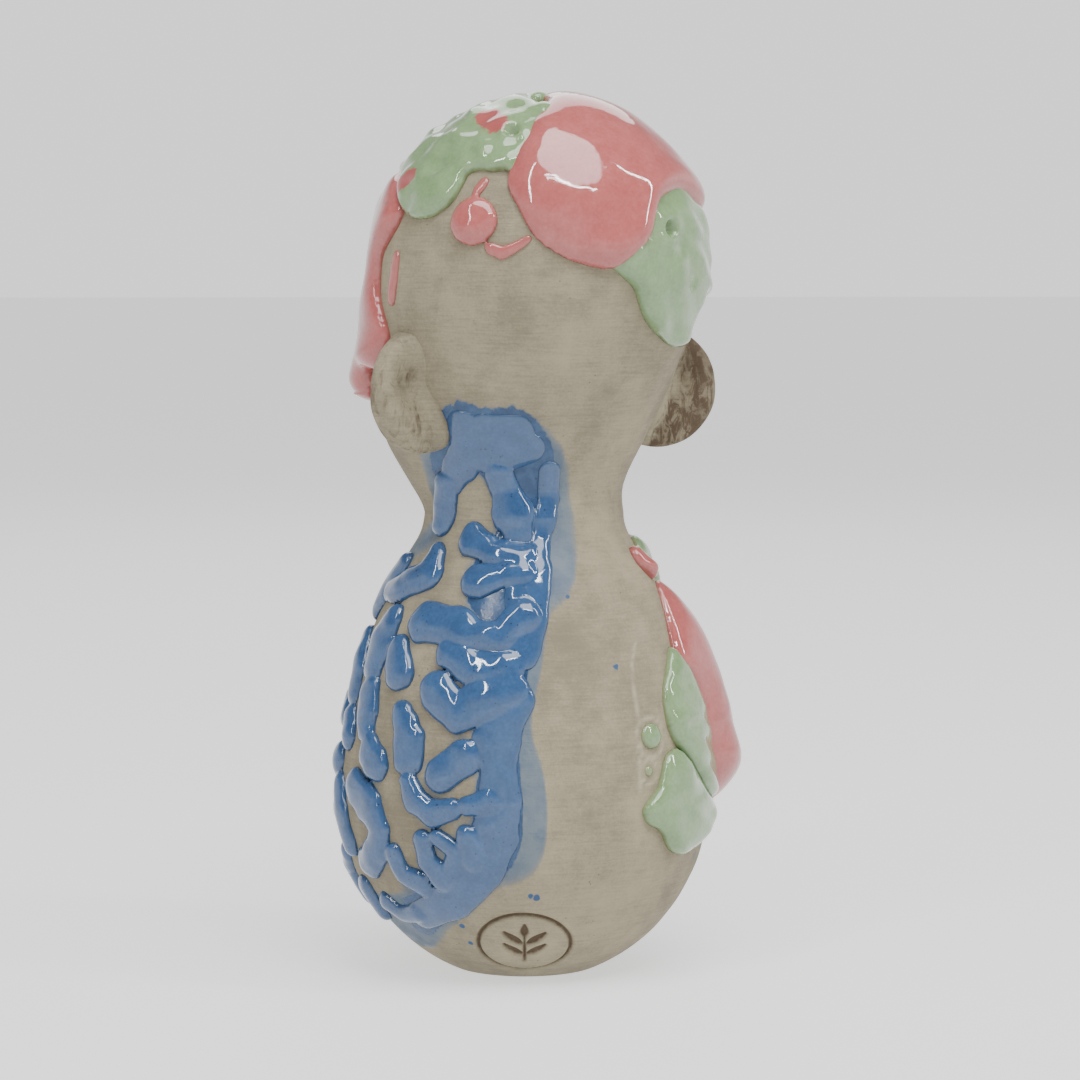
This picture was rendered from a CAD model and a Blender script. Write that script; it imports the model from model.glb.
import bpy
import numpy as np
from mathutils import Matrix, Vector


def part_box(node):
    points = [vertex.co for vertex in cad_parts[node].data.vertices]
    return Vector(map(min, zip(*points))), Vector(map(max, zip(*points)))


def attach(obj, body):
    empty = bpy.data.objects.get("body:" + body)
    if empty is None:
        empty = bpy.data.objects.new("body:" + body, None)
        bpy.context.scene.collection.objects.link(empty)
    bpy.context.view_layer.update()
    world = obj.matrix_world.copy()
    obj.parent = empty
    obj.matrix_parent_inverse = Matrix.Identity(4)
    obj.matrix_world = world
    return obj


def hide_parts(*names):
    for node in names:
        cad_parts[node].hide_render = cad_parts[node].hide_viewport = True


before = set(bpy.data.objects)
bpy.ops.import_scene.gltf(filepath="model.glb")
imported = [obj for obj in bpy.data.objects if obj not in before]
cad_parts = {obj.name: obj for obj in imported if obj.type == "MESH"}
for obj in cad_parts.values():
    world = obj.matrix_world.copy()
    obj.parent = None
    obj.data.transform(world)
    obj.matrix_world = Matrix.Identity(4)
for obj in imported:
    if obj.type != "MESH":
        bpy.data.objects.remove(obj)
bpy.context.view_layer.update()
mm = 0.001  # everything below is worked out in millimetres and scaled once, in makeMesh

# ---- the clay form, as the CAD has it: widths from its boxes, the rest named here
form = {
    "belly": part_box("body_shell")[1].x / mm,
    "neckHeight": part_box("body_shell")[1].z / mm,
    "foot": 15.5,
    "bellyHeight": 35.0,
    "neck": 20.2,
    "neckCurve": 10.5,
    "rings": [(5.5, 21.7, -3.0), (15.5, 26.8, -4.2), (28.0, 31.2, -1.4)],  # rise, radius, back
    "dome": 32.8,
    "domeRise": 50.6,
    "domeLean": 6.0,
    "crownLean": 2.0,
    "wall": 5.0,
    "floor": 6.0,
    "plug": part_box("base_slab")[1].x / mm,
}
domeHeight = form["neckHeight"] + form["domeRise"]


def hermite(x, xs, ys, slopes):
    # cubic through stations with given slopes: h00*y0 + h10*w*m0 + h01*y1 + h11*w*m1
    k = np.clip(np.searchsorted(xs, x, side="right") - 1, 0, len(xs) - 2)
    w = xs[k + 1] - xs[k]
    t = (x - xs[k]) / w
    return ((2 * t**3 - 3 * t**2 + 1) * ys[k] + (t**3 - 2 * t**2 + t) * w * slopes[k]
            + (3 * t**2 - 2 * t**3) * ys[k + 1] + (t**3 - t**2) * w * slopes[k + 1])


def roundAt(z):
    # radius of the clay at height z and how far its middle lies back: two belly arcs, a hollow neck arc,
    # a cubic through the head's rings, then a sphere that leans back
    z = np.asarray(z, float)
    f = form
    spread = f["belly"] - f["foot"]
    under = (spread**2 + f["bellyHeight"]**2) / (2 * spread)
    across = f["neck"] + f["neckCurve"] - f["belly"]
    up = f["neckHeight"] - f["bellyHeight"]
    over = (across**2 + up**2 - f["neckCurve"]**2) / (2 * (f["neckCurve"] - across))
    bend = np.arctan2(up, f["neck"] + f["neckCurve"] - (f["belly"] - over))
    level = z - f["bellyHeight"]
    low = f["belly"] - under + np.sqrt(np.maximum(under**2 - level**2, 0))
    high = f["belly"] - over + np.sqrt(np.maximum(over**2 - level**2, 0))
    hollow = f["neck"] + f["neckCurve"] - np.sqrt(np.maximum(f["neckCurve"]**2 - (f["neckHeight"] - z)**2, 0))
    xs = np.array([0.0] + [r[0] for r in f["rings"]] + [f["domeRise"]])
    radii = np.array([f["neck"]] + [r[1] for r in f["rings"]] + [f["dome"]])
    backs = np.array([0.0] + [r[2] for r in f["rings"]] + [f["domeLean"]])
    rise = np.clip(z - f["neckHeight"], 0, f["domeRise"])
    head = hermite(rise, xs, radii, np.array([0.05, 0.43, 0.42, 0.17, 0.0]))
    back = hermite(rise, xs, backs, np.array([-0.4, -0.32, 0.07, 0.30, 0.12]))
    cap = np.clip(z - domeHeight, 0, f["dome"])
    dome = np.sqrt(np.maximum(f["dome"]**2 - cap**2, 0))
    radius = np.where(level < 0, low, np.where(level < over * np.sin(bend), high, hollow))
    radius = np.where(z > f["neckHeight"], head, radius)
    radius = np.where(z > domeHeight, dome, radius)
    back = np.where(z > domeHeight, f["domeLean"] + f["crownLean"] * cap / f["dome"], back)
    return radius, np.where(z > f["neckHeight"], back, 0.0)


def waves(p, pitch, seed, octaves=3):
    # smooth hand-made unevenness: sines of turned coordinates, each octave finer and weaker
    draw = np.random.default_rng(seed)
    total = np.zeros(p.shape[:-1])
    for octave in range(octaves):
        for _ in range(5):
            way = draw.normal(size=3)
            way /= np.linalg.norm(way)
            phase = draw.uniform(0, 2 * np.pi)
            total += np.sin(p @ way * (2 * np.pi * 1.9**octave / pitch) + phase) / 1.9**octave
    return total / 5


wobble = {"slow": 0.55, "slowPitch": 46.0, "quick": 0.16, "quickPitch": 15.0}
dents = [(185, 128, 9, 0.5), (150, 118, 12, 0.5), (205, 70, 12, 0.4), (175, 34, 14, 0.35),
         (120, 128, 8, 0.45), (168, 100, 8, 0.5), (190, 88, 7, -0.5), (20, 60, 14, 0.4),
         (340, 30, 12, 0.4)]  # azimuth, z, size, depth


def handmade(p):
    # how far the clay stands off its true form: slow and quick waves, and a few thumb dents
    off = wobble["slow"] * waves(p, wobble["slowPitch"], 3, 2)
    off = off + wobble["quick"] * waves(p, wobble["quickPitch"], 8, 2)
    for azimuth, z, spread, depth in dents:
        at = sidePoint(np.array(azimuth, float), np.array(z, float), False)
        off -= depth * np.exp(-((p - at)**2).sum(-1) / (2 * (spread / 2)**2))
    return off * np.clip(p[..., 2] / 6, 0, 1)


def sidePoint(azimuth, z, uneven=True):
    # point at an azimuth (degrees from the face, towards the figure's left) and a height
    radius, back = roundAt(z)
    a = np.radians(azimuth)
    level = np.broadcast_to(z, np.shape(radius * a))
    p = np.stack([radius * np.sin(a), back - radius * np.cos(a), level], -1)
    if not uneven:
        return p
    out = p - np.stack([0 * p[..., 0], back + 0 * p[..., 0], np.minimum(p[..., 2], domeHeight)], -1)
    return p + out / np.maximum(np.linalg.norm(out, axis=-1, keepdims=True), 1e-6) * handmade(p)[..., None]


def crownPoint(azimuth, lift, uneven=True):
    # point at an azimuth and degrees up the dome; below its middle the same height on the head
    return sidePoint(azimuth, domeHeight + form["dome"] * np.sin(np.radians(lift)), uneven)


def outward(azimuth, lift=0.0):
    a, e = np.radians(azimuth), np.radians(lift)
    return np.array([np.sin(a) * np.cos(e), -np.cos(a) * np.cos(e), np.sin(e)])


def normalsOf(p):
    # unit normals of a grid of points, from its two gradients
    n = np.cross(np.gradient(p, axis=1), np.gradient(p, axis=0))
    n /= np.maximum(np.linalg.norm(n, axis=-1, keepdims=True), 1e-12)
    middle = np.array([0.0, 0.0, 60.0])
    return n if ((p - middle) * n).sum() > 0 else -n


def sideChart(azimuths, heights, step):
    # a grid over part of the side: columns by azimuth, rows by height
    widest = float(roundAt(np.linspace(*heights, 60))[0].max())
    columns = int(np.radians(azimuths[1] - azimuths[0]) * widest / step)
    rows = int((heights[1] - heights[0]) * 1.12 / step)
    a, z = np.meshgrid(np.linspace(*azimuths, columns), np.linspace(*heights, rows))
    return sidePoint(a, z)


def crownChart(facing, width, height, step):
    # a grid over the dome seen from a direction: distance from its middle is arc length
    f = outward(*facing)
    right = outward(facing[0] + 90)
    up = np.cross(f, right)
    up = up if up[2] > 0 else -up
    a, b = np.meshgrid(np.arange(-width, width, step), np.arange(height[0], height[1], step))
    turn = np.hypot(a, b) / form["dome"]
    share = np.where(turn > 1e-9, np.sin(turn) / np.maximum(turn, 1e-9), 1.0) / form["dome"]
    d = np.cos(turn)[..., None] * f + (share * a)[..., None] * right + (share * b)[..., None] * up
    azimuth = np.degrees(np.arctan2(d[..., 0], -d[..., 1]))
    lift = np.degrees(np.arcsin(np.clip(d[..., 2], -1, 1)))
    return crownPoint(azimuth, lift)


def blur(field, cells):
    # three box blurs in a row along each axis, close to a round one; each is a difference of running sums
    half = max(1, int(round(cells)))
    for axis in (0, 1):
        field = np.moveaxis(field, axis, 0)
        for _ in range(3):
            sums = np.cumsum(np.pad(field, ((half + 1, half), (0, 0)), mode="edge"), 0)
            field = (sums[2 * half + 1:] - sums[:-2 * half - 1]) / (2 * half + 1)
        field = np.moveaxis(field, 0, axis)
    return field


def makeMesh(name, points, faces, attributes=None, normals=None):
    mesh = bpy.data.meshes.new(name)
    mesh.from_pydata((points * mm).tolist(), [], faces.tolist() if hasattr(faces, "tolist") else faces)
    mesh.polygons.foreach_set("use_smooth", np.ones(len(mesh.polygons), bool))
    for key, values in (attributes or {}).items():
        layer = mesh.attributes.new(key, "FLOAT", "POINT")
        layer.data.foreach_set("value", np.asarray(values, np.float32).ravel())
    if normals is not None:
        mesh.normals_split_custom_set_from_vertices(normals.tolist())
    mesh.update()
    piece = bpy.data.objects.new(name, mesh)
    bpy.context.scene.collection.objects.link(piece)
    return piece


def gridFaces(rows, columns, closed=False, offset=0):
    # quads of a grid of rows x columns points, numbered row by row
    r, c = np.meshgrid(np.arange(rows - 1), np.arange(columns if closed else columns - 1), indexing="ij")
    d = (c + 1) % columns
    quads = np.stack([r * columns + c, r * columns + d, (r + 1) * columns + d, (r + 1) * columns + c], -1)
    return quads.reshape(-1, 4) + offset


def settle(piece, material, nodes):
    piece.data.materials.append(material)
    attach(piece, "root")
    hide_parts(*nodes)
    return piece


# ---- how thick the CAD's glaze lies over a grid: the grid is held off the clay and dropped on each node
def scanThickness(p, n, nodes, reach):
    found = np.zeros(p.shape[:2])
    start = p + n * reach
    rows, columns = p.shape[:2]
    probe = makeMesh("probe", start.reshape(-1, 3), gridFaces(rows, columns))
    first = probe.data.polygons[0]
    probe.data.update()
    if Vector(first.normal).dot(Vector(n[0, 0].tolist())) < 0:
        probe.data.flip_normals()
    wrap = probe.modifiers.new("drop", "SHRINKWRAP")
    wrap.wrap_method = "PROJECT"
    wrap.use_negative_direction = True
    wrap.use_positive_direction = False
    for node in nodes:
        wrap.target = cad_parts[node]
        bpy.context.view_layer.update()
        shown = probe.evaluated_get(bpy.context.evaluated_depsgraph_get()).data
        flat = np.empty(len(shown.vertices) * 3)
        shown.vertices.foreach_get("co", flat)
        fell = np.linalg.norm(flat.reshape(start.shape) / mm - start, axis=-1)
        lies = np.where((fell > 0.01) & (fell < reach - 0.2), reach - fell, 0.0)
        found = np.maximum(found, lies)
    data = probe.data
    bpy.data.objects.remove(probe)
    bpy.data.meshes.remove(data)
    return found


def membrane(inside, p, slack):
    # how a film of liquid swells: flat in the middle, falling to nothing at the edge within about one slack
    du = np.linalg.norm(np.gradient(p, axis=1), axis=-1)
    dv = np.linalg.norm(np.gradient(p, axis=0), axis=-1)
    wu, wv = (slack / du)**2, (slack / dv)**2
    h = inside.astype(float)
    for _ in range(int(8 * slack / np.median(du)) + 20):
        g = np.pad(h, 1)
        across, down = g[1:-1, 2:] + g[1:-1, :-2], g[2:, 1:-1] + g[:-2, 1:-1]
        h = (wu * across + wv * down + 1) / (2 * wu + 2 * wv + 1)
        h *= inside
    return h


def gapTo(p, first, last):
    # distance of every point from the straight line between two points
    along = last - first
    t = np.clip((p - first) @ along / (along @ along), 0, 1)
    return np.linalg.norm(p - first - t[..., None] * along, axis=-1)


def bilinear(field, i, j):
    rows, columns = field.shape[:2]
    i, j = np.clip(i, 0, rows - 1.001), np.clip(j, 0, columns - 1.001)
    a, b = i.astype(int), j.astype(int)
    s, t = i - a, j - b
    if field.ndim == 3:
        s, t = s[..., None], t[..., None]
    return ((1 - s) * (1 - t) * field[a, b] + (1 - s) * t * field[a, b + 1]
            + s * (1 - t) * field[a + 1, b] + s * t * field[a + 1, b + 1])


def skinMesh(name, p, n, level, height, sink=0.3, extra=None):
    # closed skin where level is above nothing: its top stands height off the clay, its underside is sunk in
    # it, and the points round its edge are moved along the slope of level onto the outline
    inside = level > 0
    inside[0] = inside[-1] = False
    inside[:, 0] = inside[:, -1] = False
    g = np.pad(inside, 1)
    near = np.zeros_like(inside)
    for di in (0, 1, 2):
        for dj in (0, 1, 2):
            near |= g[di:di + inside.shape[0], dj:dj + inside.shape[1]]
    rim = near & ~inside
    gi, gj = np.gradient(level)
    steep = np.maximum(gi**2 + gj**2, 1e-6)
    i, j = np.meshgrid(np.arange(level.shape[0]), np.arange(level.shape[1]), indexing="ij")
    si, sj = np.clip(-level * gi / steep, -1.1, 1.1), np.clip(-level * gj / steep, -1.1, 1.1)
    at, facing = bilinear(p, i + si, j + sj), bilinear(n, i + si, j + sj)
    top = np.where(inside[..., None], p + n * height[..., None], at - facing * 0.08)
    bottom = p - n * sink
    used = inside | rim
    topNumber = np.full(level.shape, -1)
    topNumber[used] = np.arange(used.sum())
    bottomNumber = topNumber.copy()
    bottomNumber[inside] = used.sum() + np.arange(inside.sum())

    def quads(number, flip):
        q = np.stack([number[:-1, :-1], number[:-1, 1:], number[1:, 1:], number[1:, :-1]], -1)
        full = (q >= 0).all(-1) & (inside[:-1, :-1] | inside[:-1, 1:] | inside[1:, 1:] | inside[1:, :-1])
        q = q[full]
        return q[:, ::-1] if flip else q

    turned = np.dot(np.cross(p[0, 1] - p[0, 0], p[1, 0] - p[0, 0]), n[0, 0]) < 0
    faces = np.concatenate([quads(topNumber, turned), quads(bottomNumber, not turned)])
    points = np.concatenate([top[used], bottom[inside]])
    thick = np.concatenate([np.where(inside, height, 0)[used], height[inside]])
    more = {"thick": thick}
    for key, values in (extra or {}).items():
        more[key] = np.concatenate([values[used], values[inside]])
    piece = makeMesh(name, points, faces, more)
    print(name, len(faces) * 2, "triangles")
    return piece


def pour(name, p, step, nodes, material, slotName, look, under=()):
    # a poured glaze over a grid: the outline and coat of the CAD nodes, softened, with a rounded edge
    n = normalsOf(p)
    lies = scanThickness(p, n, nodes, look["reach"])
    covered = (lies > 0.25).astype(float)
    coat = blur(lies, look["even"] / step) / np.maximum(blur(covered, look["even"] / step), 0.05)
    if "top" in look:
        azimuth, highest, bend = look["top"]
        turn = np.degrees(np.arctan2(p[..., 0], -p[..., 1])) % 360
        covered *= p[..., 2] < highest - bend * (turn - azimuth)**2 * (turn < azimuth)
    if under:
        beneath = scanThickness(p, n, under, look["reach"]) > 0.25
        beneath &= blur(covered, look["tuck"] / step) > 0.12
        covered = np.maximum(covered, beneath)
    soft = blur(covered, look["soften"] / step)
    level = soft - look["edge"] + look["ragged"] * waves(p, look["raggedPitch"], 21, 3)
    level = np.where(soft < 0.03, -0.5, level)
    film = membrane(level > 0, p, look["slack"])
    shift = int(look["pool"] / step)
    wide = blur((level > 0).astype(float), look["pool"] / step / 2)
    pooled = np.clip(wide - np.roll(wide, shift if p[-1, 0, 2] > p[0, 0, 2] else -shift, axis=0), 0, 1)
    height = look["lift"] * coat * np.sqrt(np.maximum(film, 0)) * (1 + look["pooled"] * pooled)
    height *= 1 + look["uneven"] * waves(p, look["unevenPitch"], 33, 2)
    for azimuth, lift, size, depth in look.get("pits", ()):
        at = crownPoint(np.array(float(azimuth)), np.array(float(lift)))
        height -= depth * np.exp(-(((p - at)**2).sum(-1) / (size / 2)**2)**1.5)
    height = np.maximum(height, 0.02)
    streak = np.zeros(level.shape)
    for ends in look.get("streaks", ()):
        (a0, e0), (a1, e1), wide = ends
        first, last = (crownPoint(np.array(float(a)), np.array(float(e))) for a, e in ((a0, e0), (a1, e1)))
        streak = np.maximum(streak, 1 - gapTo(p, first, last) / (2 * wide))
    piece = skinMesh(name, p, n, level, height, extra={"streak": streak})
    return settle(piece, material, nodes)


# ---- shader maths: a Value wraps a socket, and operators add the Math nodes
class Value:
    def __init__(self, paint, socket):
        self.paint = paint
        self.socket = socket

    def maths(self, operation, *others):
        return self.paint.maths(operation, self, *others)

    def __add__(self, other): return self.maths("ADD", other)
    def __sub__(self, other): return self.maths("SUBTRACT", other)
    def __mul__(self, other): return self.maths("MULTIPLY", other)
    def __truediv__(self, other): return self.maths("DIVIDE", other)
    def __radd__(self, other): return self.paint.maths("ADD", other, self)
    def __rsub__(self, other): return self.paint.maths("SUBTRACT", other, self)
    def __rmul__(self, other): return self.paint.maths("MULTIPLY", other, self)

    def least(self, other): return self.maths("MINIMUM", other)
    def power(self, other): return self.maths("POWER", other)

    def between(self, low, high):
        # nothing below low, one above high, smooth between
        return self.paint.node("ShaderNodeMapRange", {"interpolation_type": "SMOOTHSTEP"},
                               {"Value": self, "From Min": low, "From Max": high}, "Result")


class Paint:
    def __init__(self, name):
        self.material = bpy.data.materials.new(name)
        self.material.use_nodes = True
        self.tree = self.material.node_tree
        self.shader = self.tree.nodes["Principled BSDF"]
        place = self.node("ShaderNodeTexCoord", {}, {}, "Object")
        self.place = self.node("ShaderNodeMapping", {}, {"Vector": place, "Scale": (1000, 1000, 1000)},
                               "Vector")

    def node(self, kind, settings, sockets, output=0):
        made = self.tree.nodes.new(kind)
        for key, value in settings.items():
            setattr(made, key, value)
        for key, value in sockets.items():
            if isinstance(value, Value):
                self.tree.links.new(value.socket, made.inputs[key])
            else:
                made.inputs[key].default_value = value
        return Value(self, made.outputs[output])

    def maths(self, operation, *terms):
        return self.node("ShaderNodeMath", {"operation": operation}, dict(enumerate(terms)))

    def noise(self, size, detail=2.0, rough=0.5, place=None, warp=0.0):
        return self.node("ShaderNodeTexNoise", {}, {"Vector": place or self.place, "Scale": 1.0 / size,
                         "Detail": detail, "Roughness": rough, "Distortion": warp})

    def stretched(self, scale, turn=(0, 0, 0)):
        return self.node("ShaderNodeMapping", {}, {"Vector": self.place, "Scale": scale, "Rotation": turn},
                         "Vector")

    def cells(self, size, feature="F1", place=None, output="Distance"):
        return self.node("ShaderNodeTexVoronoi", {"feature": feature},
                         {"Vector": place or self.place, "Scale": 1.0 / size}, output)

    def attribute(self, name):
        return self.node("ShaderNodeAttribute", {"attribute_name": name}, {}, "Fac")

    def mix(self, share, a, b):
        made = self.tree.nodes.new("ShaderNodeMix")
        made.data_type = "RGBA"
        for key, value in ((0, share), (6, a), (7, b)):
            if isinstance(value, Value):
                self.tree.links.new(value.socket, made.inputs[key])
            else:
                made.inputs[key].default_value = (*value, 1.0) if isinstance(value, tuple) else value
        return Value(self, made.outputs[2])

    def bump(self, height, distance, strength=1.0, under=None):
        sockets = {"Height": height, "Distance": distance * mm, "Strength": strength}
        if under:
            sockets["Normal"] = under
        return self.node("ShaderNodeBump", {}, sockets, "Normal")

    def set(self, **values):
        for key, value in values.items():
            socket = self.shader.inputs[key.replace("_", " ")]
            if isinstance(value, Value):
                self.tree.links.new(value.socket, socket)
            else:
                isColour = isinstance(value, tuple) and len(value) == 3
                socket.default_value = (*value, 1.0) if isColour else value
        return self.material


clayLook = {
    "pale": (0.325, 0.285, 0.190), "deep": (0.18, 0.154, 0.105), "speck": (0.06, 0.042, 0.03),
    "oxide": (0.060, 0.036, 0.019), "film": (0.10, 0.15, 0.20), "filmDeep": (0.05, 0.10, 0.18), "cloud": 26.0,
    "grain": 0.55, "coat": (0.020, 0.052, 0.122), "coatPale": (0.036, 0.082, 0.175),
}


def clayMaterial(name, oxide=0.0):
    # matte speckled clay with brush lines; film, mark and ring are painted on where their attributes say
    paint = Paint(name)
    look = clayLook
    cloud = paint.noise(look["cloud"], 4.0, 0.6)
    blotch = paint.noise(5.0, 3.0, 0.6)
    grain = paint.noise(look["grain"], 3.0, 0.7)
    lines = paint.noise(1.0, 4.0, 0.65, paint.stretched((0.16, 0.16, 2.2), (0.12, 0.07, 0)), 0.3)
    shade = cloud * 0.9 + blotch * 0.35 + grain * 0.35 + lines * 0.35
    colour = paint.mix(shade.between(0.75, 1.25), look["deep"], look["pale"])
    specks = paint.cells(1.7)
    speckHere = (1 - specks.between(0.05, 0.13)) * paint.noise(7.0, 1.0).between(0.52, 0.66)
    colour = paint.mix(speckHere * 0.65, colour, look["speck"])
    rough = 0.72 + grain * 0.15
    # oxide wash: streaks, thicker in hollows
    stain = paint.attribute("stain")
    streaks = paint.noise(1.0, 5.0, 0.7, paint.stretched((0.5, 0.5, 0.22), (0.3, 0.2, 0)), 0.8)
    washed = (stain * (0.35 + 1.1 * streaks) + (streaks.between(0.42, 0.75) - 0.3) * oxide).between(0.1, 0.95)
    colour = paint.mix((washed * stain.between(0.02, 0.3)).least(0.93), colour, look["oxide"])
    # brushed blue film with a feathered edge
    film = paint.attribute("film")
    feather = film + (paint.noise(2.6, 5.0, 0.65) - 0.5) * 0.55 + (paint.noise(0.5, 2.0, 0.6) - 0.5) * 0.22
    filmHere = feather.between(0.42, 0.60)
    filmTone = paint.mix(paint.noise(6.0, 4.0, 0.65).between(0.35, 0.65), look["film"], look["filmDeep"])
    colour = paint.mix(filmHere * film.between(0.2, 0.9) * 0.80, colour, filmTone)
    wet = filmHere * paint.noise(9.0, 2.0).between(0.45, 0.62)
    # thin glassy rings left round the glaze
    ring = paint.attribute("ring")
    colour = paint.mix(ring * 0.6, colour, (0.42, 0.39, 0.27))
    coat = (paint.attribute("coat") + (paint.noise(1.8, 4.0, 0.6) - 0.5) * 0.5).between(0.42, 0.58)
    coatTone = paint.mix(paint.noise(3.0, 4.0, 0.65).between(0.36, 0.64), look["coat"], look["coatPale"])
    dots = paint.cells(1.25)
    dotSize = paint.noise(4.0, 2.0, 0.6).between(0.35, 0.75) * 0.16
    coatTone = paint.mix((1 - (dots - dotSize).between(0.0, 0.05)) * 0.7, coatTone, (0.012, 0.02, 0.045))
    colour = paint.mix(coat * 0.96, colour, coatTone)
    fleck = paint.attribute("fleck")
    colour = paint.mix(fleck.between(0.4, 0.6), colour, look["coatPale"])
    rough = (rough - wet * 0.38 - ring * 0.30) * (1 - coat) + coat * 0.16
    bare = 1 - coat * 0.8
    bumps = paint.bump((lines * 0.5 + grain * 0.5) * bare, 0.22, 0.9)
    bumps = paint.bump(paint.noise(2.4, 3.0, 0.6) + speckHere * -0.4, 0.18, 0.7, bumps)
    return paint.set(Base_Color=colour, Roughness=rough, Normal=bumps, Specular_IOR_Level=0.35)


glazeLook = {
    "pink": {"main": (0.335, 0.077, 0.073), "pale": (0.43, 0.125, 0.116),
             "thin": (0.32, 0.105, 0.09), "specks": 0.0},
    "mint": {"main": (0.145, 0.232, 0.105), "pale": (0.22, 0.33, 0.162),
             "thin": (0.22, 0.235, 0.12), "specks": 0.10},
    "blue": {"main": (0.023, 0.062, 0.150), "pale": (0.043, 0.105, 0.235),
             "thin": (0.03, 0.07, 0.15), "specks": 0.8},
}


def glazeMaterial(name, key):
    # thick glossy glaze: mottled, paler where it is thick, with pinholes, and dark specks in the blue
    paint = Paint(name)
    look = glazeLook[key]
    thick = paint.attribute("thick")
    mottle = paint.noise(3.2, 5.0, 0.7) * 0.6 + paint.noise(0.7, 3.0, 0.6) * 0.4
    colour = paint.mix(mottle.between(0.25, 0.80), look["main"], look["pale"])
    thin = 1 - (thick + (mottle - 0.5) * 0.6).between(0.15, 0.95)
    colour = paint.mix(thin * 0.75, colour, look["thin"])
    if key == "mint":
        streak = paint.attribute("streak")
        colour = paint.mix((streak + (paint.noise(1.2, 3.0) - 0.5) * 0.6).between(0.45, 0.6), colour,
                           glazeLook["pink"]["main"])
    specks = paint.cells(1.25)
    size = paint.noise(4.0, 2.0, 0.6).between(0.35, 0.75) * 0.17
    dark = (1 - (specks - size).between(0.0, 0.05)) * look["specks"]
    colour = paint.mix(dark * 0.85, colour, (0.012, 0.02, 0.045))
    pin = (1 - paint.cells(5.5).between(0.02, 0.06)) * paint.noise(11.0, 1.0).between(0.5, 0.6)
    waves = paint.noise(5.5, 2.0, 0.45)
    peel = paint.noise(1.3, 2.0, 0.5)
    bumps = paint.bump(waves, 0.45, 0.3)
    bumps = paint.bump(peel * 0.4 - pin * 1.2, 0.06, 0.4, bumps)
    rough = 0.035 + thin * 0.12 + peel * 0.04
    return paint.set(Base_Color=colour, Roughness=rough, Normal=bumps, Coat_Weight=0.35, Coat_Roughness=0.04,
                     IOR=1.52)


clay = clayMaterial("speckledClay")
stainedClay = clayMaterial("oxideClay", 0.5)
pink, mint, blue = (glazeMaterial(f"{key}Glaze", key) for key in ("pink", "mint", "blue"))
print("materials made")

# ---- where the blue film was brushed, and the bare clay left inside it: (azimuth, height) round each edge
filmEdge = [(118, 116), (128, 117.5), (137, 116), (151, 116.5), (160, 114), (171, 109), (180, 102.5),
            (181, 96), (179, 89), (175, 83), (168, 78), (159, 76), (157, 67), (153, 58), (151, 53),
            (155, 49), (157, 42), (157, 30), (153, 24), (142, 22), (135, 20), (129, 16), (116, 10),
            (104, 6), (90, 5), (75, 7), (60, 10), (46, 16), (36, 26), (29, 38), (30, 52), (38, 65),
            (50, 77), (60, 86), (74, 91), (88, 94), (94, 99), (98, 105), (106, 111)]
coatEdge = [(116, 116), (128, 118), (138, 116), (150, 117), (158, 114), (167, 109), (170, 104),
            (167, 98), (161, 93), (158, 86), (156, 78), (153, 70), (150, 61), (148, 52), (149, 44),
            (150, 36), (149, 29), (143, 24), (132, 19), (120, 14), (108, 9), (98, 10), (104, 18),
            (120, 40), (118, 62), (110, 80), (100, 98)]
bareEdge = [(109, 101), (128, 104), (135, 102), (136, 92), (122, 86), (125, 78), (138, 71), (134, 68),
            (132, 64), (127, 61), (135, 52), (137, 45), (134, 41), (136, 36), (130, 32), (123, 27),
            (118, 22), (100, 18), (87, 17), (70, 13), (55, 17), (42, 27), (38, 44), (42, 60), (56, 74),
            (75, 84), (92, 88), (98, 92), (104, 97)]
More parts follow.
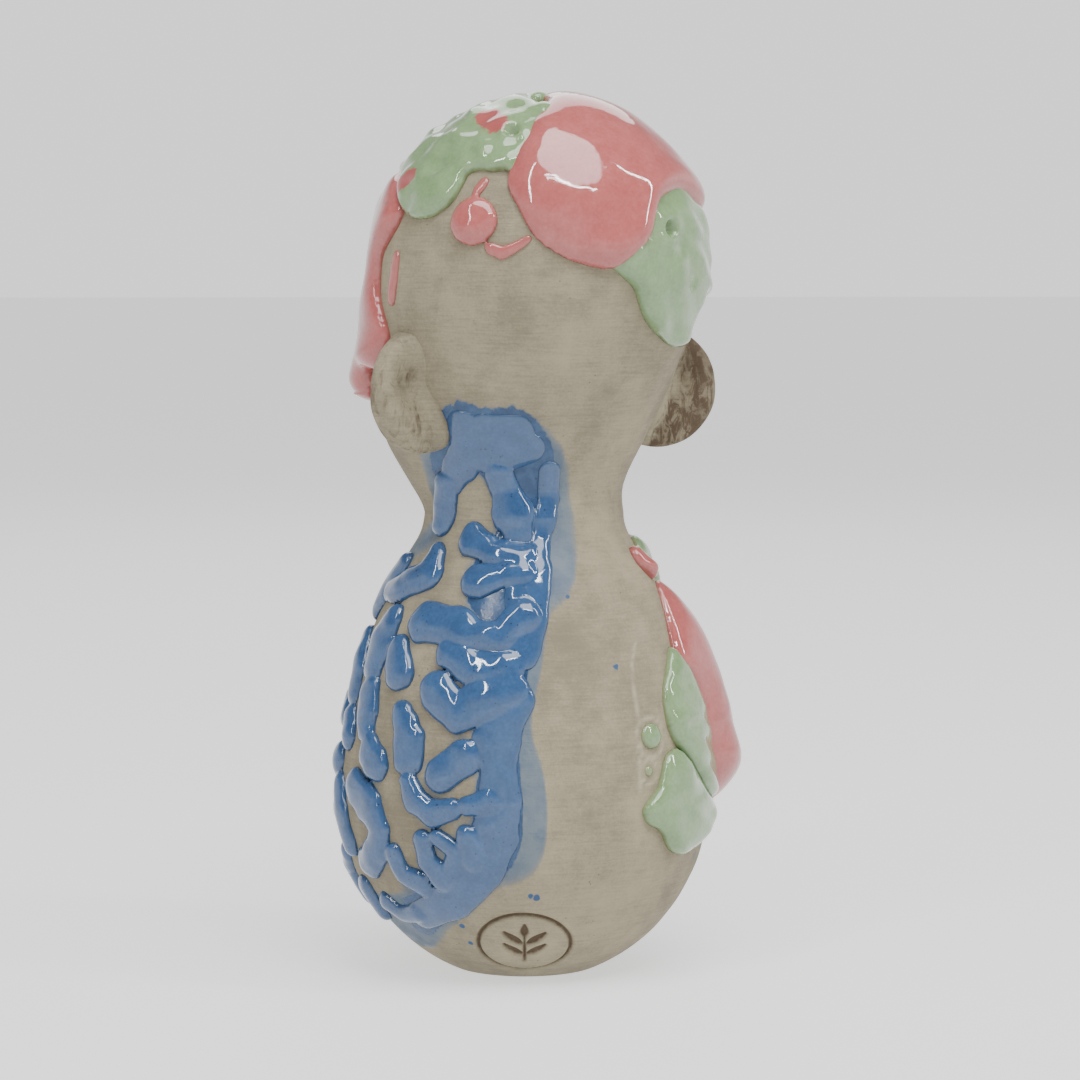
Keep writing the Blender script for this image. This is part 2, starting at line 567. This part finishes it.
beads = [  # thickness, and (azimuth, height, half width) along each stroke
    (0.4, [(128, 112.8, 2.7), (129, 108.1, 3.3), (123, 104.3, 3.1), (114, 100.6, 2.1)]),
    (0.4, [(138, 111.9, 2.9), (151, 111.9, 2.7)]),
    (0.4, [(130, 107.2, 3.3), (143, 107.2, 3.9), (156, 108.1, 2.9)]),
    (0.5, [(167, 103.4, 1.7), (167, 97.8, 1.9), (160, 92.1, 1.7)]),
    (1.0, [(142, 102.5, 2.5), (144, 99.6, 2.3), (144, 94.9, 3.5), (146, 91.2, 2.3)]),
    (1.0, [(110, 100.6, 2.2), (101, 95.9, 2.7), (96, 92.1, 2.2)]),
    (1.0, [(101, 86.5, 2.0), (101, 82.7, 3.0), (89, 79.9, 2.9), (76, 78.0, 2.0)]),
    (1.0, [(122, 89.3, 2.9), (134, 87.4, 2.3), (148, 86.5, 2.7)]),
    (1.0, [(130, 81.8, 3.1), (139, 82.7, 2.3), (149, 83.7, 2.5)]),
    (0.5, [(159, 90.2, 1.7), (154, 85.5, 2.9), (152, 79.9, 3.5), (151, 74.3, 3.3), (149, 68.6, 3.1)]),
    (1.0, [(108, 73.3, 3.5), (121, 73.3, 3.5), (131, 71.4, 2.9), (141, 71.4, 2.5), (150, 75.2, 2.9)]),
    (1.0, [(123, 67.7, 2.5), (133, 64.9, 2.9), (143, 64.9, 3.5)]),
    (1.0, [(89, 73.3, 2.4), (86, 68.6, 3.8), (85, 63.9, 3.2)]),
    (1.0, [(98, 67.7, 2.4), (102, 63.0, 3.0)]),
    (1.0, [(120, 60.2, 3.5), (128, 56.4, 3.1), (137, 59.2, 3.7), (145, 61.1, 3.3)]),
    (0.5, [(147, 59.2, 3.1), (142, 53.6, 3.7), (142, 47.0, 3.1), (143, 39.5, 3.5), (141, 32.9, 3.7),
           (137, 26.3, 3.7), (125, 18.8, 3.5), (109, 14.1, 2.7)]),
    (0.5, [(137, 51.7, 1.9), (143, 49.8, 1.9)]),
    (1.0, [(107, 55.5, 2.1), (111, 50.8, 3.1), (112, 47.0, 2.9)]),
    (1.0, [(124, 44.2, 2.9), (131, 47.9, 2.9)]),
    (1.0, [(113, 42.3, 1.7), (116, 38.5, 2.3), (121, 36.7, 2.3), (128, 37.6, 1.9)]),
    (1.0, [(133, 38.5, 1.7), (140, 39.5, 2.1)]),
    (1.0, [(94, 47.0, 3.0), (98, 45.1, 3.0)]),
    (1.0, [(87, 59.2, 2.6), (88, 54.5, 3.2), (90, 50.8, 2.4)]),
    (1.0, [(87, 39.5, 3.0), (95, 36.7, 3.5), (101, 32.0, 2.2), (99, 28.2, 2.7), (92, 24.4, 2.9)]),
    (1.0, [(106, 27.3, 1.9), (109, 23.5, 2.0), (115, 21.6, 2.0)]),
    (1.0, [(118, 31.0, 1.9), (119, 26.3, 2.1), (124, 23.5, 2.3)]),
    (1.0, [(123, 32.0, 1.4), (129, 29.1, 1.7), (127, 24.4, 1.9)]),
    (1.0, [(133, 32.0, 2.1), (135, 28.2, 2.5)]),
    (1.0, [(94, 16.0, 2.0), (99, 14.1, 1.7), (109, 15.0, 1.9)]),
    (1.0, [(75, 83.7, 2.4), (66, 78.0, 3.0), (61, 74.3, 2.3)]),
    (1.0, [(62, 67.7, 2.5), (68, 62.0, 3.2), (70, 57.3, 2.4)]),
    (1.0, [(46, 62.0, 2.4), (51, 55.5, 3.1), (59, 51.7, 2.5)]),
    (1.0, [(73, 52.6, 2.1), (76, 48.9, 2.6)]),
    (1.0, [(42, 50.8, 2.2), (39, 45.1, 2.8)]),
    (1.0, [(67, 43.2, 3.2), (57, 42.3, 2.7)]),
    (1.0, [(73, 38.5, 2.2), (77, 32.9, 2.7), (81, 27.3, 2.3)]),
    (1.0, [(45, 35.7, 2.5), (55, 32.0, 3.1), (64, 32.9, 2.4)]),
    (1.0, [(44, 25.4, 2.4), (52, 20.7, 3.0)]),
    (1.0, [(71, 24.4, 2.0), (63, 20.7, 2.8), (66, 15.0, 2.3)]),
    (1.0, [(33, 35.7, 2.0), (34, 30.1, 2.3)]),
    (1.0, [(80, 17.9, 2.3), (83, 13.2, 2.0)]),
]
beadLook = {"thick": 1.75, "wide": 3.0, "grow": 1.27, "blend": 6.0, "wander": 0.45, "wanderPitch": 7.0,
            "step": 0.34}


def beadFields(p, n):
    # how far inside a stroke each point is (1 on its line, 0 at its edge) and how high the beads stand:
    # each is a dome, thick * sqrt(1 - (distance / half width)^2), and they are joined by a power sum
    look = beadLook
    shift = np.stack([waves(p, look["wanderPitch"], 40 + k, 2) for k in range(3)], -1)
    q = p + look["wander"] * shift
    inside = np.full(p.shape[:-1], -9.0)
    total = np.zeros(p.shape[:-1])
    for factor, line in beads:
        spots = np.array(line)
        ends = sidePoint(spots[:, 0], spots[:, 1])
        own = np.full(p.shape[:-1], -9.0)
        broad = np.zeros(p.shape[:-1])
        for k in range(max(1, len(line) - 1)):
            start, end = ends[k], ends[min(k + 1, len(line) - 1)]
            along = end - start
            t = np.clip((q - start) @ along / max(along @ along, 1e-9), 0, 1)
            off = q - start - t[..., None] * along
            off = off - (off * n).sum(-1, keepdims=True) * n
            width = look["grow"] * (spots[k, 2] + t * (spots[min(k + 1, len(line) - 1), 2] - spots[k, 2]))
            here = 1 - np.linalg.norm(off, axis=-1) / width
            broad = np.where(here > own, width, broad)
            own = np.maximum(own, here)
        dome = np.sqrt(np.clip(1 - (1 - np.clip(own, 0, 1))**2, 0, 1))
        height = factor * look["thick"] * np.clip(broad / look["wide"], 0, 1.15)**0.5 * dome
        total += height**look["blend"]
        inside = np.maximum(inside, own)
    return inside, total**(1 / look["blend"])


stampLook = {"azimuth": 150.0, "height": 8.5, "radius": 9.7, "line": 0.8, "depth": 0.62}


def smoothLoop(points, count=400):
    # a closed curve through points: its corners are rounded by blurring it round the loop
    loop = np.array(points + points[:1], float)
    along = np.r_[0, np.cumsum(np.hypot(*np.diff(loop, axis=0).T))]
    at = np.linspace(0, along[-1], count, endpoint=False)
    curve = np.stack([np.interp(at, along, loop[:, k]) for k in (0, 1)], -1)
    kernel = np.hanning(15)
    kernel /= kernel.sum()
    return np.stack([np.convolve(np.r_[c[-7:], c, c[:7]], kernel, "valid") for c in curve.T], -1)


def insideLoop(a, z, loop):
    # even-odd test, every grid point against every side of the loop
    hit = np.zeros(a.shape, bool)
    for (x0, y0), (x1, y1) in zip(loop, np.roll(loop, -1, 0)):
        crosses = (y0 > z) != (y1 > z)
        hit ^= crosses & (a < (x1 - x0) * (z - y0) / (y1 - y0 + 1e-12) + x0)
    return hit


def stampFields(p):
    # depth of the pressed ring and sprig, from distances in the plane square to the clay at the stamp
    look = stampLook
    at = sidePoint(np.array(look["azimuth"]), np.array(look["height"]))
    ends = sidePoint(np.array([look["azimuth"]] * 2), np.array([look["height"] - 2, look["height"] + 2]))
    up = (ends[1] - ends[0]) / np.linalg.norm(ends[1] - ends[0])
    side = outward(look["azimuth"] + 90)
    x, y = (p - at) @ side, (p - at) @ up
    far = np.linalg.norm(p - at, axis=-1) > 2 * look["radius"]

    def dab(x0, y0, x1, y1, half):
        # distance from a leaf-shaped dab along a line: half wide, widest near its middle
        t = np.clip(((x - x0) * (x1 - x0) + (y - y0) * (y1 - y0)) / ((x1 - x0)**2 + (y1 - y0)**2), 0, 1)
        leaf = half * (0.45 + 0.55 * np.sin(np.pi * t**0.8))
        return np.hypot(x - x0 - t * (x1 - x0), y - y0 - t * (y1 - y0)) - leaf

    big = look["radius"]
    marks = np.abs(np.hypot(x, y) - big + look["line"] / 2) - look["line"] / 2
    marks = np.minimum(marks, dab(0, -0.55 * big, 0, 0.36 * big, look["line"] / 2.2))
    for above in (-0.25, 0.12):
        for turn in (-1, 1):
            leaf = dab(0.07 * big * turn, above * big, 0.42 * big * turn, (above + 0.3) * big,
                       1.15 * look["line"])
            marks = np.minimum(marks, leaf)
    marks = np.minimum(marks, dab(0, 0.36 * big, 0, 0.66 * big, 1.1 * look["line"]))
    pressed = 1 / (1 + np.exp(np.clip(marks / 0.11, -30, 30)))
    lip = np.exp(-((marks - 0.45) / 0.35)**2) * 0.10
    return np.where(far, 0, pressed), np.where(far, 0, lip)


stampGrid = {"near": 24, "nearColumns": 150, "farColumns": 232, "low": 19, "lowRows": 82, "highRows": 100,
             "cheekRows": 70, "domeRows": 56, "domeTop": 88.6, "insideRows": 26, "headRows": 18,
             "crownRows": 10}
haloPath = [(194, 69), (190, 65), (188.5, 58), (190, 52), (187, 45), (188, 40)]  # azimuth, height
haloRings = [(193, 50.8, 3.9), (191.5, 44.2, 2.4)]  # azimuth, height, radius
flecks = [(168, 79, 0.6), (183, 65, 0.8), (184, 66.5, 0.4), (154, 20, 0.9), (152, 20.3, 0.7), (126, 13, 0.8),
          (127, 9, 0.7)]  # azimuth, height, radius


def clayFields(p, n, A, Z, pressed):
    # what is painted on the clay: film and coat of blue, wash in the mark, halo rings and blue flecks
    turn = np.mod(A, 360)
    brushed = insideLoop(turn, Z, smoothLoop(filmEdge)).astype(float)
    bare = insideLoop(turn, Z, smoothLoop(bareEdge)).astype(float)
    close = np.exp(-np.clip(-beadFields(p, n)[0], 0, 3) / 0.22)
    film = blur(np.maximum(blur(brushed, 2) - 0.72 * blur(bare, 2), 0.62 * close), 1)
    coat = blur(insideLoop(turn, Z, smoothLoop(coatEdge)) * 1.0 - 1.2 * bare, 2)
    ring, fleck = np.zeros(film.shape), np.zeros(film.shape)
    halo = sidePoint(*np.array(haloPath, float).T)
    for first, last in zip(halo, halo[1:]):
        ring = np.maximum(ring, np.exp(-(gapTo(p, first, last) / 0.28)**2))
    for azimuth, height, size in haloRings:
        at = sidePoint(np.array(float(azimuth)), np.array(float(height)))
        ring = np.maximum(ring, np.exp(-((np.linalg.norm(p - at, axis=-1) - size) / 0.3)**2))
    for azimuth, height, size in flecks:
        at = sidePoint(np.array(float(azimuth)), np.array(float(height)))
        fleck = np.maximum(fleck, np.exp(-((p - at)**2).sum(-1) / size**2))
    return {"film": film, "coat": coat, "stain": pressed, "ring": ring, "fleck": fleck}


def wrappedNormals(p):
    # normals of a grid that closes on itself sideways
    return normalsOf(np.concatenate([p[:, -1:], p, p[:, :1]], 1))[:, 1:-1]


def clayShell(name, node, outer, normals, inner, painted, capped):
    # outer rows, then inner rows back, joined at the neck; a capped one is closed at the crown too
    columns, outerRows, rows = outer.shape[1], len(outer), len(outer) + len(inner)
    every = np.arange(columns)
    if capped:
        faces = gridFaces(outerRows, columns, True).tolist()
        faces += gridFaces(len(inner), columns, True, outerRows * columns).tolist()
    else:
        faces = gridFaces(rows, columns, True).tolist()
    last = (rows - 1) * columns + every
    faces += np.stack([last, np.roll(last, -1), np.roll(every, -1), every], -1).tolist()
    if capped:
        faces.append(((outerRows - 1) * columns + every).tolist())
        faces.append((outerRows * columns + every)[::-1].tolist())
    bare = np.zeros(inner.shape[:2])
    values = {key: np.concatenate([value, bare]).ravel() for key, value in painted.items()}
    piece = makeMesh(name, np.concatenate([outer, inner]).reshape(-1, 3), faces, values)
    settle(piece, clay, [node])
    mesh = piece.data
    own = np.empty((len(mesh.vertices), 3))
    mesh.vertices.foreach_get("normal", own.ravel())
    if (own[columns * 5:columns * 6] * normals[5]).sum() < 0:
        mesh.flip_normals()
        mesh.vertices.foreach_get("normal", own.ravel())
    own[:outerRows * columns] = normals.reshape(-1, 3)
    mesh.normals_split_custom_set_from_vertices(own.tolist())
    print(name, len(mesh.polygons) * 2, "triangles")


def clayShells():
    # the outside from the foot to the crown on one grid, denser at the stamp; split at the neck joint
    f, g = form, stampGrid
    near, neck, wall = g["near"], form["neckHeight"], form["wall"]
    a = np.r_[np.linspace(-near, near, g["nearColumns"]),
              np.linspace(near, 360 - near, g["farColumns"])[1:-1]] + stampLook["azimuth"]
    low = np.r_[np.linspace(0, g["low"], g["lowRows"]), np.linspace(g["low"], neck, g["highRows"])[1:]]
    lift = np.radians(np.linspace(0, g["domeTop"], g["domeRows"])[1:])
    high = np.r_[np.linspace(neck, domeHeight, g["cheekRows"])[1:], domeHeight + f["dome"] * np.sin(lift)]
    A, Z = np.meshgrid(a, np.r_[low, high])
    p = sidePoint(A, Z)
    n = wrappedNormals(p)
    pressed, lip = stampFields(p)
    p = p + n * (lip - stampLook["depth"] * pressed)[..., None]
    n = wrappedNormals(p)
    painted = clayFields(p, n, A, Z, pressed)
    rows, rad = len(low), np.radians(a)

    def revolve(ring):
        # rings of (radius, back, height), turned round the figure
        ring = np.array(ring)
        return np.stack([ring[:, :1] * np.sin(rad), ring[:, 1:2] - ring[:, :1] * np.cos(rad),
                         np.repeat(ring[:, 2:], len(rad), 1)], -1)

    def rings(bottom, top, count):
        # the outside's rings, one wall further in
        found = [(height, *roundAt(height)) for height in np.linspace(bottom, top, count)]
        return [(radius - wall, back, height) for height, radius, back in found]

    # body: outside up to the neck, then down the inside, over the floor and out through the plug hole
    inside = rings(neck, 14, g["insideRows"])
    inside += [(22.0, 0, 9.0), (19.0, 0, f["floor"]), (f["plug"], 0, f["floor"]), (f["plug"], 0, 0.0)]
    clayShell("clayBody", "body_shell", p[:rows], n[:rows], revolve(inside),
              {key: value[:rows] for key, value in painted.items()}, False)
    # head: outside to a small ring at the crown, closed by a cap, and the inside the same way
    inside = rings(neck, domeHeight, g["headRows"])
    for up in np.radians(np.linspace(0, 88, g["crownRows"])[1:]):
        inside.append(((f["dome"] - wall) * np.cos(up), f["domeLean"] + f["crownLean"] * np.sin(up),
                       domeHeight + (f["dome"] - wall) * np.sin(up)))
    clayShell("clayHead", "head_shell", p[rows - 1:], n[rows - 1:], revolve(inside[::-1]),
              {key: value[rows - 1:] for key, value in painted.items()}, True)


clayShells()

# ---- glaze
thickPour = {"reach": 8.0, "edge": 0.5, "lift": 1.12, "even": 2.5, "soften": 0.9, "ragged": 0.05,
             "raggedPitch": 9.0, "slack": 2.0, "pool": 5.0, "pooled": 0.8, "uneven": 0.10,
             "unevenPitch": 17.0, "tuck": 1.6}
thinPour = {**thickPour, "reach": 6.0, "soften": 0.6, "lift": 1.2, "slack": 1.3, "pool": 3.0, "pooled": 0.4,
            "uneven": 0.25, "unevenPitch": 8.0}
crownPour = {**thinPour, "uneven": 0.3, "streaks": [((112, 58), (124, 52), 2.4), ((82, 24), (92, 30), 1.6)],
             "pits": [(134, 49, 2.6, 2.2), (120, 38, 3.0, 0.8), (104, 34, 4.0, 0.7)]}
runPour = {**thinPour, "uneven": 0.3, "pits": [(199, 12, 2.8, 2.6), (203, 5, 4.5, 0.7), (213, -6, 2.5, 0.6)]}
dropPour = {**thinPour, "soften": 0.4, "ragged": 0.03}
flankPour = {**thickPour, "top": (230, 80.0, 0.075), "reach": 11.0, "slack": 2.6, "even": 2.0, "pooled": 0.25}
slots = {"pink": (pink, "pink_glaze"), "mint": (mint, "mint_glaze")}


def pourOn(chart, name, colour, span, step, nodes, look, under=()):
    pour(name, chart(*span, step), step, nodes, *slots[colour], look, under)


# crown pours: (middle azimuth and lift), half width, (lowest and highest), all about that middle
pourOn(crownChart, "pinkCap", "pink", ((240, 50), 52, (-48, 52)), 0.42, ["pink_cap", "pink_fringe"],
       thickPour)
pourOn(crownChart, "mintCrown", "mint", ((88, 45), 42, (-38, 44)), 0.42, ["mint_crown"], crownPour,
       ["pink_cap", "pink_fringe"])
pourOn(crownChart, "mintRunBack", "mint", ((210, 0), 24, (-28, 22)), 0.36,
       ["mint_run_back", "mint_bead_back"], runPour, ["pink_cap"])
pourOn(crownChart, "pinkTempleDrip", "pink", ((72, 0), 22, (-34, 28)), 0.38, ["pink_temple_drip"], thickPour)
pourOn(crownChart, "pinkStreakTemple", "pink", ((95, -4), 6, (-16, 16)), 0.3, ["pink_streak_temple"],
       thinPour)
pourOn(crownChart, "pinkDropsBack", "pink", ((132, 16), 16, (-16, 18)), 0.3,
       ["pink_drop_back", "pink_fleck_back", "pink_trail_back"], dropPour)


def pourBeads():
    # the trailed blue strokes, from their table, as one skin
    p = sideChart((26, 176), (3, 120), beadLook["step"])
    n = normalsOf(p)
    level, height = beadFields(p, n)
    height = np.maximum(height * (1 + 0.12 * waves(p, 8.0, 60, 2)), 0.03)
    settle(skinMesh("blueRelief", p, n, level, height), blue,
           ["blue_relief_neck", "blue_relief_shoulder", "blue_relief_flank", "blue_relief_front"])


pourBeads()
# flank pours: (azimuths), (heights)
pourOn(sideChart, "pinkFlankRun", "pink", ((206, 276), (26, 84)), 0.38, ["pink_flank_run"], flankPour)
for name, node, azimuths, heights, under in (
        ("mintFlankStrip", "mint_flank_strip", (222, 296), (42, 92), ["pink_flank_run"]),
        ("mintFlankUpper", "mint_flank_upper", (192, 252), (28, 70), ["pink_flank_run"]),
        ("mintFlankLower", "mint_flank_lower", (180, 246), (20, 54), ["pink_flank_run"]),
        ("mintFlankDrops", "mint_flank_drops", (184, 200), (38, 56), [])):
    pourOn(sideChart, name, "mint", (azimuths, heights), 0.36, [node], {**thinPour, "reach": 11.0}, under)
pourOn(sideChart, "pinkFlankDrop", "pink", ((210, 232), (78, 92)), 0.3, ["pink_flank_drop"], thinPour)
print("glazes poured")

# ---- ears and face
earLook = {"azimuth": 107.0, "rise": 26.0, "reach": 12.5, "sunk": 1.6, "half": 3.6, "tilt": 20.0, "dent": 2.0,
           "dentSpread": 5.5, "dentOut": 4.0, "groove": 1.1, "grooveAt": 0.66, "grooveWide": 0.13,
           "flare": 2.4, "flareReach": 1.7, "rows": 90, "columns": 150}


def ear(name, node, side, wash):
    # rings about the pad's axis from its back to its front: across = sin(t), thickness = half * cos(t)^0.6
    look = earLook
    out = outward(side * look["azimuth"], look["tilt"])
    back = outward(side * look["azimuth"] + side * 90)
    up = np.cross(out, back)
    up = up * np.sign(up[2])
    at = np.array(form["neckHeight"] + look["rise"])
    middle = sidePoint(np.array(side * look["azimuth"]), at, False) - out * look["sunk"]
    t, turn = np.meshgrid(np.linspace(0.004, np.pi - 0.004, look["rows"]),
                          np.linspace(0, 2 * np.pi, look["columns"], endpoint=False), indexing="ij")
    across = np.sin(t)**0.85
    x, y = look["reach"] * across * np.cos(turn), look["reach"] * across * np.sin(turn)
    face = np.sign(np.cos(t)) * np.abs(np.cos(t))**0.6
    flat = middle + x[..., None] * out + y[..., None] * up
    radius, lean = roundAt(flat[..., 2])
    clear = np.hypot(flat[..., 0], flat[..., 1] - lean) - radius
    half = look["half"] * (0.72 + 0.28 * across)
    half = half + look["flare"] * np.exp(-np.maximum(clear, 0) / look["flareReach"])
    pressed = look["dent"] * np.exp(-((x - look["dentOut"])**2 + y**2) / (2 * look["dentSpread"]**2 / 3))
    groove = look["groove"] * np.exp(-((across - look["grooveAt"]) / look["grooveWide"])**2)
    groove = groove * np.clip(np.cos(turn) + 0.7, 0, 1)
    depth = half * face - np.where(face > 0, pressed, -0.8 * pressed - groove)
    p = flat + depth[..., None] * back
    quick, slow = 0.35 * waves(p, 11.0, 5 + side, 3), 0.3 * waves(p, 16.0, 9 + side, 2)
    p = p + quick[..., None] * back + slow[..., None] * out
    rows, columns = t.shape
    faces = gridFaces(rows, columns, True).tolist()
    faces += [list(range(columns))[::-1], list(range((rows - 1) * columns, rows * columns))]
    stain = np.clip(np.clip(clear / 2.5, 0, 1) * (wash + 0.2 * waves(p, 9.0, 12 + side, 3)), 0, 1)
    piece = makeMesh(name, p.reshape(-1, 3), faces, {"stain": stain.ravel()})
    centre = Vector((middle * mm).tolist())
    if sum((f.center - centre).dot(f.normal) for f in piece.data.polygons) < 0:
        piece.data.flip_normals()
    print(name, rows * columns * 2, "triangles")
    return settle(piece, stainedClay, [node])


ear("earLeft", "ear_left", 1, 0.34)
ear("earRight", "ear_right", -1, 0.8)


def pressedOn(name, node, spot, size, shape):
    # clay pressed on the face: shape gives its height over places across and above the spot
    azimuth, rise = spot
    z = form["neckHeight"] + rise
    radius = float(roundAt(np.array(z))[0])
    turn = np.degrees(size[0] / radius)
    a, level = np.meshgrid(np.linspace(azimuth - turn, azimuth + turn, int(2 * size[0] / 0.16)),
                           np.linspace(z - size[1], z + size[1], int(2 * size[1] / 0.16)))
    p = sidePoint(a, level)
    height = shape(np.radians(a - azimuth) * radius, level - z)
    piece = skinMesh(name, p, normalsOf(p), height - 0.05, np.maximum(height, 0.02))
    return settle(piece, clay, [node])


def noseShape(x, y):
    # a ridge that widens and rises towards a round tip, with a soft wing on each side
    along = np.clip((6.5 - y) / 9.5, 0, 1)
    ridge = (0.5 + 2.2 * along**1.3) * np.exp(-(x / (1.3 + 1.5 * along))**2) * np.clip((7.5 - y) / 1.5, 0, 1)
    fall = np.clip((y + 7.2) / 2.6, 0, 1)**0.6
    tip = 2.4 * np.exp(-(x**2 + (y + 2.8)**2) / 6.5)
    wings = 1.2 * np.exp(-((np.abs(x) - 2.6)**2 + (y + 3.6)**2) / 2.2)
    return (ridge * fall + tip + wings) * np.where(y < -3, fall, 1)


def lidShape(x, y):
    # a calm closed eye: a low dome, a fold above it and a fine line where the lids meet
    curve = -0.9 * (1 - (x / 6.6)**2)
    dome = 1.7 * np.sqrt(np.clip(1 - (x / 6.8)**2 - ((y - 0.2) / 2.9)**2, 0, 1))
    line = 0.55 * np.exp(-((y - curve) / 0.28)**2) * np.clip(1 - (x / 6.4)**2, 0, 1)
    fold = 0.35 * np.exp(-((y - 2.2 + 0.03 * x**2) / 0.35)**2) * np.clip(1 - (x / 6.4)**2, 0, 1)
    return dome - line - fold


def lipShape(x, y):
    # two soft rolls that meet along a level line, the lower one fuller
    share = np.clip(1 - (x / 6.2)**2, 0, 1)
    upper = 1.35 * np.exp(-((y - 0.75) / (0.95 * np.sqrt(share) + 0.15))**2) * share**0.7
    upper = upper * (1 - 0.16 * np.exp(-(x / 0.8)**2))
    lower = 1.6 * np.exp(-((y + 1.25) / (1.15 * np.sqrt(share) + 0.15))**2) * share**0.9
    line = 0.6 * np.exp(-((y + 0.12 - 0.01 * x**2) / 0.3)**2) * share
    return np.maximum(upper, lower) - line


pressedOn("nose", "nose", (0, 28.5), (5.5, 9.0), noseShape)
pressedOn("eyelidLeft", "eyelid_left", (23, 41), (7.6, 4.0), lidShape)
pressedOn("eyelidRight", "eyelid_right", (-23, 41), (7.6, 4.0), lidShape)
pressedOn("lips", "lips", (0, 17.5), (7.0, 4.2), lipShape)

# ---- CAD nodes that stay
for name in ("base_slab", "neck_coil"):
    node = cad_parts[name]
    node.data.materials.clear()
    node.data.materials.append(clay)

# ---- floor, light and camera
studio = {"floor": 0.42, "sky": 1.27, "zenith": 0.2, "glow": 0.95}
floorMesh = bpy.data.meshes.new("floor")
wide = 80.0
floorMesh.from_pydata([(-wide, -wide, 0), (wide, -wide, 0), (wide, wide, 0), (-wide, wide, 0)], [],
                      [(0, 1, 2, 3)])
floor = bpy.data.objects.new("floor", floorMesh)
bpy.context.scene.collection.objects.link(floor)
floorPaint = Paint("paleFloor")
floor.data.materials.append(floorPaint.set(
    Base_Color=(studio["floor"],) * 3, Roughness=0.8, Specular_IOR_Level=0.1,
    Emission_Color=(1.0, 1.0, 1.0), Emission_Strength=studio["glow"]))

world = bpy.data.worlds.new("studio")
bpy.context.scene.world = world
world.use_nodes = True
skyNodes = world.node_tree.nodes
background = skyNodes["Background"]
background.inputs["Color"].default_value = (1, 1, 1, 1)
way = skyNodes.new("ShaderNodeTexCoord")
parts = skyNodes.new("ShaderNodeSeparateXYZ")
fade = skyNodes.new("ShaderNodeMapRange")
fade.interpolation_type = "SMOOTHSTEP"
for key, value in (("From Min", 0.12), ("From Max", 0.5), ("To Min", studio["sky"]),
                   ("To Max", studio["zenith"])):
    fade.inputs[key].default_value = value
world.node_tree.links.new(way.outputs["Generated"], parts.inputs["Vector"])
world.node_tree.links.new(parts.outputs["Z"], fade.inputs["Value"])
world.node_tree.links.new(fade.outputs["Result"], background.inputs["Strength"])


def placed(at, back):
    # where a lamp or camera stands, with its back along a direction
    return Matrix.Translation(at) @ back.to_track_quat("Z", "Y").to_matrix().to_4x4()


def softLight(name, azimuth, lift, away, size, power, colour=(1, 1, 1)):
    # an oval light on a sphere round the figure's middle, facing it
    lamp = bpy.data.lights.new(name, "AREA")
    lamp.shape = "ELLIPSE"
    lamp.size, lamp.size_y = size
    lamp.energy = power
    lamp.color = colour
    light = bpy.data.objects.new(name, lamp)
    middle = Vector((0, 0, 0.1))
    at = middle + Vector(outward(azimuth, lift).tolist()) * away
    light.matrix_world = placed(at, at - middle)
    bpy.context.scene.collection.objects.link(light)


softLight("overhead", 175, 70, 1.2, (0.9, 0.9), 17.0)
softLight("stripTop", 170, 50, 0.8, (0.5, 0.02), 1.8)
softLight("stripRight", 222, 38, 0.85, (0.022, 0.6), 2.6)
softLight("stripLeft", 115, 42, 0.85, (0.022, 0.6), 2.2)
softLight("front", 330, 40, 1.3, (0.9, 0.9), 5.0)

cameraLook = {"azimuth": 150.0, "lift": 4.5, "away": 650.0, "scale": 4.84, "across": 3.1, "up": -1.9,
              "middle": 90.0}
back = outward(cameraLook["azimuth"], cameraLook["lift"])
right = outward(cameraLook["azimuth"] + 90)
up = np.cross(back, right)
up = up if up[2] > 0 else -up
aim = np.array([0, 0, cameraLook["middle"]]) + right * cameraLook["across"] + up * cameraLook["up"]
eye = aim + back * cameraLook["away"]
lens = bpy.data.cameras.new("camera")
lens.sensor_width = 36.0
lens.lens = cameraLook["scale"] * cameraLook["away"] * lens.sensor_width / 1080
camera = bpy.data.objects.new("camera", lens)
camera.matrix_world = placed(Vector((eye * mm).tolist()), Vector(back.tolist()))
bpy.context.scene.collection.objects.link(camera)
bpy.context.scene.camera = camera
